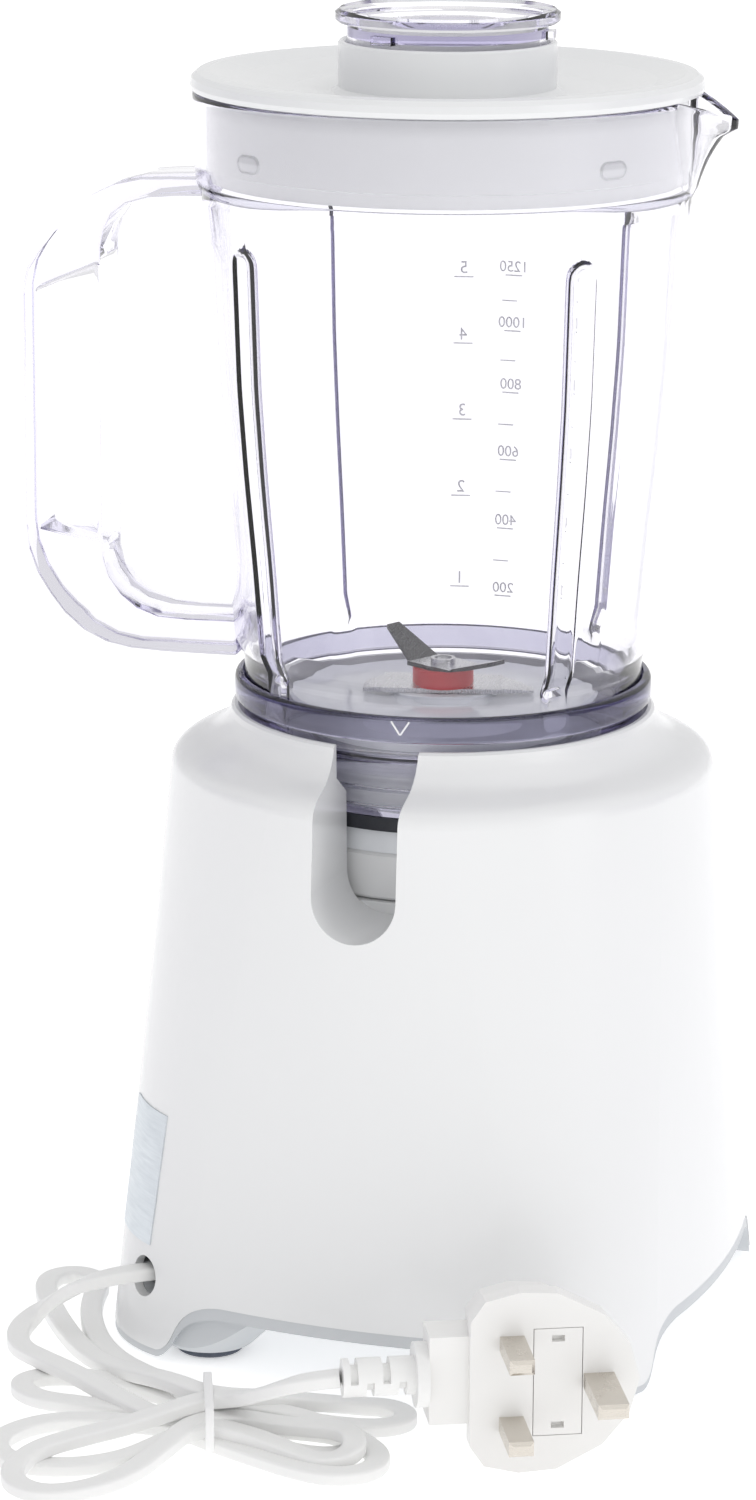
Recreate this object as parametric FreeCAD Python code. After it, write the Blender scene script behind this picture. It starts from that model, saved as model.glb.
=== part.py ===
import FreeCAD, Part
import math
import os

# Countertop blender. Millimetres, +Z up, origin on the motor axis at the floor.
# The knob is at the front (-Y), the neck slot and the mains lead at the back (+Y),
# the jar's handle is near +X and its spout near -X.

os.makedirs("parts", exist_ok=True)

V = FreeCAD.Vector
Z = V(0, 0, 1)

# ---- driving dimensions -------------------------------------------------------------
JAR_TURN = 7.0             # the jar's handle stands this many degrees past +X
WALL = 2.5                 # moulded wall of the base
TAPER = 0.055              # inward lean of the base's sides per mm of height
FOOT_HALF = 84.0           # half width of the base at the floor
SIDE_R = 240.0             # bulge radius of the base's sides
CORNER_R = 36.0            # corner radius of the base's plan at the floor
CORNER_C = 43.3            # X and Y of that corner's centre
SHOULDER_R = 75.0          # round top of the base
SHOULDER_Z = 156.5
RIM_R = 58.3               # rim around the jar's seat
RIM_Z = 173.0
WELL_R = 47.6              # seat well, at its floor
WELL_TOP_R = 56.6
WELL_FLOOR = 127.6
SLOT_HALF = 11.8           # neck slot at the back
SLOT_BOTTOM = 124.5
ARCH_FLAT = 36.0           # half length of the raised lower edge between two corners
ARCH_FOOT = 55.0           # where the edge is down at the corner again
ARCH_Z = 18.5
CORNER_Z = 2.9
TRIM = 3.5                 # height of the grey band below the white edge
PAD_X, PAD_Y, PAD_R = 46.0, 62.0, 9.5
BOSS_X, BOSS_Y = 66.0, 50.0  # screws that hold the bottom cover

RING_Z = 175.5             # thick ring around the jar's foot
NECK_Z = 151.6             # lower end of the jar's neck
JAR_TOP = 341.5
JAR_WALL = 2.8
BORE_R = 44.2              # inside the jar's neck
PLATE_Z = 175.0            # top of the blade holder's plate

LID_Z = 341.9              # underside of the lid's flange
LID_R = 68.9
SKIRT_R = 64.5
SKIRT_Z = 318.3
NECK_R = 29.3              # filler neck of the lid
NECK_TOP = 354.5
CAP_R = 26.9
CAP_FLANGE_R = 30.1
CAP_TOP = 363.0

KNOB_Z = 66.0
KNOB_R = 18.0

LABEL_ANGLE = 38.0         # the plain label sits round the rear corner
LABEL_W, LABEL_H = 22.0, 36.6
LABEL_Z = 30.7

CORD_W, CORD_T = 6.2, 3.8  # flat two-core mains lead
CORD_R = 2.5               # round stand-in with about the same section
HOLE_ANGLE = 55.0
HOLE_Z = 21.5
HOLE_R = 5.6


# ---- helpers ------------------------------------------------------------------------
def save(name, shape):
    """Write one sub-part and report what it holds."""
    state = "ok" if shape.isValid() else "INVALID"
    print(f"{name:22s} solids {len(shape.Solids)} volume {shape.Volume:10.1f} {state}")
    shape.exportStep(f"parts/{name}.step")


def cyl(r, z0, z1, x=0.0, y=0.0):
    return Part.makeCylinder(r, z1 - z0, V(x, y, z0))


def tube(ro, ri, z0, z1, x=0.0, y=0.0):
    return cyl(ro, z0, z1, x, y).cut(cyl(ri, z0 - 1, z1 + 1, x, y))


def box(x0, x1, y0, y1, z0, z1):
    return Part.makeBox(x1 - x0, y1 - y0, z1 - z0, V(x0, y0, z0))


def revolve(points):
    """Closed outline of (radius, z) points turned about the motor axis."""
    corners = [V(r, 0, z) for r, z in points]
    wire = Part.makePolygon(corners + [corners[0]])
    return Part.Face(wire).revolve(V(0, 0, 0), Z, 360)


def revolve_curve(curve_points, closing_points):
    """Like revolve, but the first run of points is one smooth curve."""
    curve = Part.BSplineCurve()
    curve.interpolate([V(r, 0, z) for r, z in curve_points])
    last = V(curve_points[-1][0], 0, curve_points[-1][1])
    first = V(curve_points[0][0], 0, curve_points[0][1])
    corners = [last] + [V(r, 0, z) for r, z in closing_points] + [first]
    edges = [curve.toShape()]
    for a, b in zip(corners, corners[1:]):
        edges.append(Part.LineSegment(a, b).toShape())
    return Part.Face(Part.Wire(edges)).revolve(V(0, 0, 0), Z, 360)


def fuse(shapes):
    first, rest = shapes[0], shapes[1:]
    return first.multiFuse(rest) if rest else first


def turned(shape, degrees):
    """A copy turned about the motor axis."""
    copy = shape.copy()
    copy.rotate(V(0, 0, 0), Z, degrees)
    return copy


def four_corners(shape):
    """The same piece at the four corners, by mirroring in X and Y."""
    other = shape.mirror(V(0, 0, 0), V(1, 0, 0))
    pair = [shape, other]
    return pair + [s.mirror(V(0, 0, 0), V(0, 1, 0)) for s in pair]


def side_polygon(points, y0, y1):
    """Prism of an (x, z) outline from y0 to y1."""
    corners = [V(x, y0, z) for x, z in points]
    face = Part.Face(Part.makePolygon(corners + [corners[0]]))
    return face.extrude(V(0, y1 - y0, 0))


# ---- base shell ---------------------------------------------------------------------
def arc(centre, r, a0, a1, z):
    mid = (a0 + a1) / 2
    ends = [V(centre[0] + r * math.cos(a), centre[1] + r * math.sin(a), z) for a in (a0, mid, a1)]
    return Part.Arc(*ends).toShape()


def plan(inset, z):
    """Rounded square with bulged sides: four long arcs and four tangent corner arcs."""
    half = FOOT_HALF - inset
    side_r = SIDE_R - inset
    corner_r = CORNER_R - inset
    offset = side_r - half
    reach = side_r - corner_r
    c = (-offset + math.sqrt(2 * reach ** 2 - offset ** 2)) / 2
    side = math.atan2(c, c + offset)
    edges = []
    for i in range(4):
        turn = i * math.pi / 2
        cs, sn = math.cos(turn), math.sin(turn)
        edges.append(arc((-offset * cs, -offset * sn), side_r, turn - side, turn + side, z))
        corner = (c * cs - c * sn, c * sn + c * cs)
        edges.append(arc(corner, corner_r, turn + side, turn + math.pi / 2 - side, z))
    return Part.Wire(edges)


def round_plan(r, z):
    """Circle split like the rounded square, so that the two loft cleanly."""
    side = math.radians(20)
    edges = []
    for i in range(4):
        turn = i * math.pi / 2
        edges.append(arc((0, 0), r, turn - side, turn + side, z))
        edges.append(arc((0, 0), r, turn + side, turn + math.pi / 2 - side, z))
    return Part.Wire(edges)


def body_loft(inset, z_top, z_bottom=0.0):
    """The base's tapering body, from the rounded square up to the round shoulder."""
    lean = (SHOULDER_Z - z_top) * 0.06
    return Part.makeLoft([plan(inset, z_bottom), round_plan(SHOULDER_R - inset + lean, z_top)], True, True)


COVE = [(RIM_R, RIM_Z - 0.6), (60.2, 168.2), (64.6, 164.2), (69.6, 162.2), (73.2, 160.2), (SHOULDER_R, SHOULDER_Z)]


def outer_body():
    cap = revolve_curve(COVE, [(0, SHOULDER_Z), (0, RIM_Z), (RIM_R - 0.8, RIM_Z)])
    return body_loft(0.0, SHOULDER_Z).fuse(cap)


def well(offset):
    """The jar's seat, offset outwards for the wall around it."""
    o = offset
    return revolve([(0, WELL_FLOOR - o), (WELL_R + o, WELL_FLOOR - o), (48.4 + o, 158.0),
                    (56.2 + o, 163.6), (WELL_TOP_R + o, RIM_Z + 3), (0, RIM_Z + 3)])


def slot(offset, y0, y1):
    half = SLOT_HALF + offset
    centre_z = SLOT_BOTTOM + SLOT_HALF
    trough = Part.makeCylinder(half, y1 - y0, V(0, y0, centre_z), V(0, 1, 0))
    return trough.fuse(box(-half, half, y0, y1, centre_z, RIM_Z + 5))


def arch(drop):
    """Cutter under the raised lower edge of one pair of sides, dropped for the grey band."""
    low = CORNER_Z - min(drop, 2.0)
    top = ARCH_Z - drop
    knots = [(ARCH_FOOT + 1.5, low), (ARCH_FOOT - 2.0, low + 2.2), (50.0, low + (top - low) * 0.5),
             (46.0, low + (top - low) * 0.8), (41.0, top - 0.8), (ARCH_FLAT, top)]
    right = [V(x, 0, z) for x, z in knots]
    left = [V(-x, 0, z) for x, z in reversed(knots)]
    curves = []
    for run in (right, left):
        curve = Part.BSplineCurve()
        curve.interpolate(run)
        curves.append(curve.toShape())
    wide = 130.0
    corners = [left[-1], V(-wide, 0, low), V(-wide, 0, -9), V(wide, 0, -9), V(wide, 0, low), right[0]]
    lines = [Part.LineSegment(a, b).toShape() for a, b in zip(corners, corners[1:])]
    lines.append(Part.LineSegment(right[-1], left[0]).toShape())
    face = Part.Face(Part.Wire(Part.__sortEdges__(curves + lines)))
    prism = face.extrude(V(0, 260, 0))
    prism.translate(V(0, -130, 0))
    return prism


def arches(drop):
    one = arch(drop)
    return [one, turned(one, 90)]


def screw_bosses():
    boss = cyl(4.2, 20.0, 46.0, BOSS_X, BOSS_Y)
    rib = box(0, 14, -1.2, 1.2, 24, 46)
    rib.rotate(V(0, 0, 0), Z, 16)
    rib.translate(V(BOSS_X, BOSS_Y, 0))
    solid = boss.fuse(rib).cut(cyl(1.4, 19.0, 40.0, BOSS_X, BOSS_Y))
    return four_corners(solid)


def hole_axis():
    """Start and direction of the lead's hole through the rear corner."""
    a = math.radians(HOLE_ANGLE)
    return V(math.cos(a), math.sin(a), 0)


def cord_hole():
    return Part.makeCylinder(HOLE_R, 34, V(CORNER_C, CORNER_C, HOLE_Z) + hole_axis() * 18, hole_axis())


def motor_housing():
    outer = outer_body()
    inner = body_loft(WALL, 150.0, -1.0)
    inner = inner.fuse(Part.makeCone(73.4, 60.5, 10.5, V(0, 0, 150.0)))
    shell = outer.cut(inner)
    cup = well(2.3).common(outer)
    channel = slot(2.4, 40.0, 90.0).common(outer)
    body = fuse([shell, cup, channel] + [b.common(outer) for b in screw_bosses()])
    knob_hole = Part.makeCylinder(6.5, 30, V(0, -95, KNOB_Z), V(0, 1, 0))
    shaft_hole = cyl(7.5, 120.0, 130.0)
    for cutter in (well(0.0), slot(0.0, 46.0, 100.0), cord_hole(), knob_hole, shaft_hole):
        body = body.cut(cutter)
    for cutter in arches(0.0):
        body = body.cut(cutter)
    return body


def bottom_cover():
    """Grey tray: a band flush with the shell below its edge, a lip inside it and four foot domes."""
    band = body_loft(0.3, 150.0).common(box(-99, 99, -99, 99, 0, ARCH_Z + 1))
    for cutter in arches(TRIM):
        band = band.cut(cutter)
    above = body_loft(-3.0, 150.0).common(box(-99, 99, -99, 99, 0, 40))
    for cutter in arches(0.08):
        above = above.cut(cutter)
    band = band.cut(above)
    lip = body_loft(WALL + 0.3, 150.0).common(box(-99, 99, -99, 99, 0, 23))
    for cutter in arches(TRIM):
        lip = lip.cut(cutter)
    tray = body_loft(WALL + 3.0, 150.0, -1.0).common(box(-99, 99, -99, 99, ARCH_Z - TRIM + 2.2, 40))
    body = band.fuse(lip).cut(tray)
    domes = []
    for sx in (-1, 1):
        for sy in (-1, 1):
            dome = Part.makeCone(12.5, 25.0, 12.6, V(sx * PAD_X, sy * PAD_Y, 2.8))
            domes.append(dome.common(body_loft(WALL + 0.3, 150.0)))
    body = body.multiFuse(domes)
    for sx in (-1, 1):
        for sy in (-1, 1):
            body = body.cut(cyl(PAD_R + 0.1, 0, 5.0, sx * PAD_X, sy * PAD_Y))
            body = body.cut(cyl(1.8, 0, 30.0, sx * BOSS_X, sy * BOSS_Y))
            body = body.cut(cyl(4.4, 19.9, 40.0, sx * BOSS_X, sy * BOSS_Y))
            body = body.cut(cyl(3.4, 0, 13.0, sx * BOSS_X, sy * BOSS_Y))
    for i in range(10):
        body = body.cut(turned(box(18, 30, -1.6, 1.6, 0, 30), 36 * i))
    return body.cut(cord_hole())


def rubber_feet():
    feet = []
    for sx in (-1, 1):
        for sy in (-1, 1):
            pad = cyl(PAD_R, 0, 5.0, sx * PAD_X, sy * PAD_Y)
            feet.append(pad.makeChamfer(0.6, [e for e in pad.Edges if abs(e.BoundBox.ZMax) < 0.01]))
    return Part.makeCompound(feet)


def cover_screws():
    screw = cyl(3.2, 10.6, 13.0, BOSS_X, BOSS_Y).fuse(cyl(1.4, 13.0, 36.0, BOSS_X, BOSS_Y))
    screw = screw.cut(box(BOSS_X - 0.4, BOSS_X + 0.4, BOSS_Y - 4, BOSS_Y + 4, 10.0, 11.6))
    return Part.makeCompound(four_corners(screw))


def rating_label():
    """Thin plate stuck to the rear corner above the lead's hole."""
    outer = body_loft(-0.35, SHOULDER_Z)
    inner = body_loft(0.0, SHOULDER_Z)
    window = Part.makeBox(60, LABEL_W, LABEL_H, V(0, -LABEL_W / 2, 0))
    window.rotate(V(0, 0, 0), Z, LABEL_ANGLE)
    window.translate(V(CORNER_C, CORNER_C, LABEL_Z))
    return outer.cut(inner).common(window)


# ---- control knob -------------------------------------------------------------------
FRONT_Y = -(FOOT_HALF - TAPER * KNOB_Z)


def knob_bezel():
    ring = Part.makeCylinder(KNOB_R + 3.0, 4.0, V(0, FRONT_Y - 1.6, KNOB_Z), V(0, 1, 0))
    ring = ring.cut(Part.makeCylinder(6.8, 20, V(0, FRONT_Y - 10, KNOB_Z), V(0, 1, 0)))
    return ring.cut(body_loft(0.0, SHOULDER_Z))


def speed_knob():
    base = Part.makeCylinder(KNOB_R, 13.0, V(0, FRONT_Y - 15.4, KNOB_Z), V(0, 1, 0))
    grip = box(-3.5, 3.5, FRONT_Y - 20.4, FRONT_Y - 15.0, KNOB_Z - KNOB_R + 1, KNOB_Z + KNOB_R - 1)
    knob = base.fuse(grip)
    bore = Part.makeCylinder(3.0, 9.0, V(0, FRONT_Y - 10.4, KNOB_Z), V(0, 1, 0))
    return knob.cut(bore)


def switch_spindle():
    return Part.makeCylinder(3.0, 24.0, V(0, FRONT_Y - 10.4, KNOB_Z), V(0, 1, 0))


def selector_switch():
    y0 = FRONT_Y + 6.0
    body = box(-15, 15, y0, y0 + 22, KNOB_Z - 14, KNOB_Z + 14)
    lugs = [box(x - 2.4, x + 2.4, y0 + 22, y0 + 29, KNOB_Z - 12, KNOB_Z - 11.2) for x in (-10, 0, 10)]
    socket = Part.makeCylinder(3.05, 9.0, V(0, y0 - 1, KNOB_Z), V(0, 1, 0))
    return fuse([body] + lugs).cut(socket)


# ---- motor --------------------------------------------------------------------------
SHAFT_R = 4.0
STATOR_Z0, STATOR_Z1 = 58.0, 90.0
POLE_R = 22.5
ROD_X, ROD_R = 31.0, 2.0   # long screws that clamp the two brackets to the stator


def stator_core():
    core = box(-36, 36, -30, 30, STATOR_Z0, STATOR_Z1)
    core = core.cut(cyl(POLE_R, 0, 200))
    for sx in (-1, 1):
        core = core.cut(cyl(ROD_R + 0.1, 0, 200, sx * ROD_X, 0))
        core = core.cut(box(sx * 22 - 6, sx * 22 + 6, -21, -11, 0, 200))
        core = core.cut(box(sx * 22 - 6, sx * 22 + 6, 11, 21, 0, 200))
    return core


def field_coils():
    coils = []
    for sy in (-1, 1):
        ring = box(-27.6, 27.6, 11.6, 20.4, STATOR_Z0 - 9, STATOR_Z1 + 9)
        ring = ring.cut(box(-16.4, 16.4, 0, 40, STATOR_Z0 - 0.2, STATOR_Z1 + 0.2))
        ring = ring.cut(cyl(POLE_R + 0.6, 0, 200))
        ring = ring.cut(box(-99, 99, -99, 99, STATOR_Z0 - 0.2, STATOR_Z1 + 0.2).cut(
            fuse([box(sx * 22 - 5.6, sx * 22 + 5.6, 10, 22, 0, 200) for sx in (-1, 1)])))
        coils.append(ring if sy > 0 else ring.mirror(V(0, 0, 0), V(0, 1, 0)))
    return Part.makeCompound([s for c in coils for s in c.Solids])


def motor_bracket(z0, z1):
    """Cast cross arm that holds one bearing and clamps to the stator."""
    arm = box(-34, 34, -9, 9, z0, z1)
    cross = box(-9, 9, -26, 26, z0, z1)
    hub = cyl(15, z0, z1)
    holes = [cyl(11.0, 0, 200)] + [cyl(ROD_R + 0.1, 0, 200, sx * ROD_X, 0) for sx in (-1, 1)]
    return fuse([arm, cross, hub]).cut(fuse(holes))


def bracket_screws():
    rods = []
    for sx in (-1, 1):
        rod = cyl(ROD_R, 28.5, 117.0, sx * ROD_X, 0)
        rods.append(rod.fuse(cyl(3.6, 117.0, 119.6, sx * ROD_X, 0)))
    return Part.makeCompound(rods)


def bearing(z0):
    return tube(10.97, SHAFT_R, z0, z0 + 7.0)


def armature_shaft():
    shaft = cyl(SHAFT_R - 0.03, 28.0, 131.5)
    return shaft.fuse(cyl(3.2, 131.0, 138.6))


def armature_core():
    core = tube(21.8, SHAFT_R - 0.03, STATOR_Z0 + 1, STATOR_Z1 - 1)
    for i in range(12):
        a = math.radians(30 * i)
        core = core.cut(cyl(1.9, 0, 200, 18.4 * math.cos(a), 18.4 * math.sin(a)))
        slit = box(18.4, 30, -0.7, 0.7, 0, 200)
        core = core.cut(turned(slit, 30 * i))
    return core


def armature_windings():
    ends = [tube(17.5, 7.0, STATOR_Z1 - 0.9, STATOR_Z1 + 7.0), tube(17.5, 7.0, STATOR_Z0 - 7.0, STATOR_Z0 + 0.9)]
    return Part.makeCompound(ends)


def commutator():
    drum = tube(10.0, SHAFT_R - 0.03, 37.0, 50.0)
    for i in range(12):
        drum = drum.cut(turned(box(9.2, 12, -0.25, 0.25, 0, 200), 30 * i + 15))
    return drum


def cooling_fan():
    hub = tube(9.0, SHAFT_R - 0.03, 99.6, 106.0)
    disc = tube(27.5, 8.5, 99.6, 101.2)
    blades = [turned(box(8.8, 27.0, -0.8, 0.8, 101.0, 106.0), 36 * i) for i in range(10)]
    return fuse([hub, disc] + blades)


def brush_holders():
    holders = []
    for s in (-1, 1):
        sleeve = box(11.6, 28.4, -4.4, 4.4, 39.0, 48.0).cut(box(10, 27, -3.0, 3.0, 40.5, 46.5))
        holders.append(sleeve if s > 0 else sleeve.mirror(V(0, 0, 0), V(1, 0, 0)))
    return Part.makeCompound(holders)


def carbon_brushes():
    brush = box(10.4, 24.0, -2.9, 2.9, 40.6, 46.4)
    return Part.makeCompound([brush, brush.mirror(V(0, 0, 0), V(1, 0, 0))])


def motor_dampers():
    """Rubber sleeves between the motor's upper bracket and the seat well."""
    dampers = []
    for i in range(4):
        a = math.radians(45 + 90 * i)
        dampers.append(tube(6.0, 2.2, 120.0, 125.1, 22 * math.cos(a), 22 * math.sin(a)))
    return Part.makeCompound(dampers)


def motor_carrier():
    """Plate that hangs the motor from the dampers."""
    plate = tube(30.0, 15.4, 117.2, 119.9)
    for i in range(4):
        a = math.radians(45 + 90 * i)
        plate = plate.cut(cyl(2.2, 0, 200, 22 * math.cos(a), 22 * math.sin(a)))
    for sx in (-1, 1):
        plate = plate.cut(cyl(3.8, 0, 200, sx * ROD_X, 0))
    return plate


def cord_clamp():
    """Screwed bridge that grips the lead inside the rear corner."""
    clamp = box(-7, 7, -4, 4, HOLE_Z - 2.6, HOLE_Z + 7).cut(box(-3.4, 3.4, -6, 6, HOLE_Z - 3, HOLE_Z + 2.2))
    clamp.rotate(V(0, 0, 0), Z, HOLE_ANGLE - 90)
    clamp.translate(V(CORNER_C, CORNER_C, 0) + hole_axis() * 22)
    return clamp


# ---- dog clutch between motor and blades --------------------------------------------
DOG_HALF = 3.2             # narrow enough for the blades' driver to stop 45 degrees from a dog


def drive_coupling():
    """Disc on the motor shaft with two upright dogs."""
    disc = tube(15.0, 3.2, 132.2, 135.2).fuse(tube(6.0, 3.2, 135.0, 138.0))
    dogs = []
    for i in range(2):
        wedge = tube(15.0, 9.5, 135.0, 142.5).common(box(-DOG_HALF, DOG_HALF, 0, 20, 130, 150))
        dogs.append(turned(wedge, 180 * i))
    return fuse([disc] + dogs)


def driven_coupling():
    """Two-winged driver on the lower end of the blade spindle."""
    hub = tube(6.2, 3.0, 139.0, 148.0)
    wing = box(5.0, 14.4, -3.6, 3.6, 139.0, 145.0)
    return fuse([hub, wing.cut(cyl(4.0, 100, 200)), turned(wing.cut(cyl(4.0, 100, 200)), 180)])


# ---- blade unit ---------------------------------------------------------------------
def blade_holder():
    """Grey insert that closes the jar's neck and carries the blade bearing."""
    outline = [(3.6, 150.0), (9.5, 150.0), (9.5, 171.0), (41.0, 171.6), (41.0, 147.6), (38.6, 147.6),
               (38.6, 141.2), (45.2, 141.2), (45.2, 147.3), (43.7, 147.3), (43.7, PLATE_Z - 1.2),
               (42.5, PLATE_Z), (15.0, PLATE_Z), (13.6, PLATE_Z + 0.6), (13.6, 176.8), (13.0, 177.2),
               (7.0, 177.2), (7.0, 174.0), (3.6, 174.0)]
    return revolve(outline)


def blade_collar():
    """White screwed collar below the holder, with finger ribs inside."""
    ring = revolve([(36.0, 128.0), (44.6, 128.0), (45.4, 128.8), (45.4, 140.2), (44.6, 141.0), (36.0, 141.0)])
    ribs = [turned(box(31.0, 37.0, -1.5, 1.5, 129.0, 140.0), 60 * i + 30) for i in range(6)]
    return fuse([ring] + ribs)


def spindle_bush():
    return tube(3.6, 3.05, 150.5, 173.5)


def spindle_seal():
    return tube(7.0, 3.9, 174.2, 177.0)


def jar_gasket():
    return tube(47.0, 44.0, 147.7, 151.4)


def blade_spindle():
    return fuse([cyl(3.0, 139.4, 177.3), cyl(2.4, 177.2, 185.0)])


def winged_blade(plate_z, thick, half_width, wings):
    """Flat lozenge with two bent wings; a wing is (direction, root reach, tip reach, rise, width)."""
    shapes = []
    for direction, root, tip, rise, width in wings:
        flat = box(-0.1, root, -half_width, half_width, plate_z, plate_z + thick)
        w0, w1 = width, width * 0.45
        base = [V(root - 0.6, -w0, plate_z), V(root - 0.6, w0, plate_z)]
        far = [V(tip, w1, plate_z + rise), V(tip, -w1, plate_z + rise)]
        wing = Part.Face(Part.makePolygon(base + far + [base[0]])).extrude(V(0, 0, thick))
        for shape in (flat, wing):
            shape.rotate(V(0, 0, 0), Z, direction)
            shapes.append(shape)
    shapes.append(cyl(half_width * 1.05, plate_z, plate_z + thick))
    return fuse(shapes).cut(cyl(2.45, plate_z - 3, plate_z + 6))


def upper_blade():
    return winged_blade(183.0, 1.2, 6.0, [(-26.0, 8.0, 19.5, 7.8, 5.4), (154.0, 8.0, 21.0, 4.0, 5.0)])


def lower_blade():
    return winged_blade(177.3, 1.3, 6.5, [(15.0, 16.5, 22.0, -1.2, 5.6), (195.0, 16.5, 25.0, -1.2, 5.6)])


def blade_spacer():
    return tube(8.4, 2.45, 178.6, 183.0)


def blade_nut():
    return tube(3.4, 2.4, 184.2, 185.6)


# ---- jar ----------------------------------------------------------------------------
JAR_OUTER = [(54.8, 187.0), (57.3, 192.5), (59.3, 216.0), (62.0, 242.0), (64.0, 266.0), (65.2, 297.0), (66.0, 314.0)]
RIB_ANGLES = (45.0, 135.0, 225.0, 315.0)


def jar_outside():
    return revolve_curve(JAR_OUTER, [
        (67.4, 317.0), (67.7, 322.0), (68.5, JAR_TOP - 1.0), (68.0, JAR_TOP), (0, JAR_TOP), (0, NECK_Z),
        (47.0, NECK_Z), (47.0, 163.0), (52.0, 165.0), (55.4, 168.0), (55.4, RING_Z),
        (57.0, RING_Z), (57.3, RING_Z + 0.6), (57.3, RING_Z + 5.0), (56.8, RING_Z + 5.6), (54.8, RING_Z + 6.4)])


def jar_inside(inset=0.0):
    inner = [(r - JAR_WALL - inset, z) for r, z in JAR_OUTER]
    return revolve_curve(inner, [
        (65.1, 317.4), (65.8, JAR_TOP + 2), (0, JAR_TOP + 2), (0, NECK_Z - 2), (BORE_R, NECK_Z - 2),
        (BORE_R, 168.5), (50.2, 170.0), (51.6, 172.0), (51.8, 186.0)])


def jar_ribs():
    """Four rounded inward ribs that break up the vortex."""
    ribs = []
    for angle in RIB_ANGLES:
        low, high = V(53.2, 0, 183.0), V(61.8, 0, 303.0)
        rod = Part.makeCylinder(3.8, (high - low).Length, low, high - low)
        rib = rod.fuse(Part.makeSphere(3.8, high))
        ribs.append(turned(rib, angle))
    return ribs


HANDLE_OUTER = [(62, 317.6), (82, 316.8), (92, 313.6), (102, 307.0), (110, 298.6), (114.4, 291.0), (115.8, 284.0),
                (115.8, 219.0), (114.4, 211.5), (109.5, 201.0), (102, 192.2), (93, 187.2), (82, 185.4), (52, 185.2)]
HANDLE_INNER = [(52, 195.4), (78, 195.0), (86, 198.2), (91.5, 204.0), (94.2, 211.0), (94.0, 297.0), (91.8, 304.0),
                (88, 308.6), (81, 310.9), (62, 311.8)]
GRIP_HALF = 11.5


def jar_handle():
    """D-shaped handle with a channel open towards the jar."""
    solid = side_polygon(HANDLE_OUTER + HANDLE_INNER, -GRIP_HALF, GRIP_HALF)
    channel = [(90.0, 214.0), (112.8, 219.0), (112.8, 284.0), (90.0, 294.0)]
    return solid.cut(side_polygon(channel, -GRIP_HALF + 3.0, GRIP_HALF - 3.0))


def spout_solid(inset):
    """Pouring lip on -X: triangular sections that shrink towards the tip."""
    stations = [(56.0, 17.0, 300.0, 338.6), (66.0, 13.0, 311.0, 338.2), (71.5, 8.2, 327.0, 337.4),
                (78.0 - inset, 2.8, 333.6, 336.4)]
    wires = []
    for x, half, low, top in stations:
        half, low = half - inset, low + inset * 1.5
        lift = 6.0 if inset else 0.0
        corners = [V(-x, -half, top + lift), V(-x, half, top + lift), V(-x, half * 0.5, (low * 2 + top) / 3),
                   V(-x, 0, low), V(-x, -half * 0.5, (low * 2 + top) / 3)]
        wires.append(Part.makePolygon(corners + [corners[0]]))
    return Part.makeLoft(wires, True, True)


def jar_body():
    outside = jar_outside()
    ribs = fuse(jar_ribs()).common(outside)
    body = outside.cut(jar_inside()).fuse(ribs)
    handle = jar_handle().cut(jar_inside(-1.0))
    body = body.fuse(handle).fuse(spout_solid(0.0).cut(jar_inside(-0.5)))
    body = body.cut(spout_solid(1.9))
    return turned(body, JAR_TURN)


# ---- lid and cap --------------------------------------------------------------------
def lid():
    plate = [(NECK_R - 1.8, 336.5), (NECK_R, 336.5), (NECK_R, 338.6), (SKIRT_R - 3.4, 341.6),
             (SKIRT_R - 3.4, SKIRT_Z + 0.4), (SKIRT_R - 2.8, SKIRT_Z), (SKIRT_R - 1.2, SKIRT_Z),
             (SKIRT_R - 0.9, SKIRT_Z + 3.6), (SKIRT_R, SKIRT_Z + 3.9), (SKIRT_R, LID_Z), (LID_R - 0.4, LID_Z),
             (LID_R, LID_Z + 1.4), (LID_R - 0.5, LID_Z + 3.2), (LID_R - 2.0, LID_Z + 4.4), (LID_R - 5.0, LID_Z + 4.7),
             (56.0, LID_Z + 2.6), (42.0, LID_Z + 0.2), (NECK_R + 2.0, LID_Z - 0.8), (NECK_R, LID_Z + 0.4),
             (NECK_R, NECK_TOP - 0.5), (NECK_R - 0.5, NECK_TOP), (NECK_R - 1.3, NECK_TOP),
             (NECK_R - 1.8, NECK_TOP - 0.5)]
    return revolve(plate)


def measuring_cap():
    wall = revolve([(CAP_R, 329.0), (CAP_R - 2.0, 329.0), (CAP_R - 2.2, 355.6), (0, 355.6), (0, 358.2), (11.0, 358.2),
                    (12.0, 359.4), (17.0, 359.4), (18.0, 358.2), (CAP_R - 1.4, 358.2), (CAP_R - 0.6, 361.6),
                    (CAP_FLANGE_R - 1.2, CAP_TOP), (CAP_FLANGE_R, CAP_TOP - 0.9), (CAP_FLANGE_R, 360.2),
                    (CAP_FLANGE_R - 0.8, 359.5), (CAP_R, 359.2)])
    lugs = [turned(box(CAP_R - 1.0, NECK_R - 0.6, -3.4, 3.4, 355.4, 357.6), a) for a in (70, 190, 310)]
    return fuse([wall] + lugs)


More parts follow.
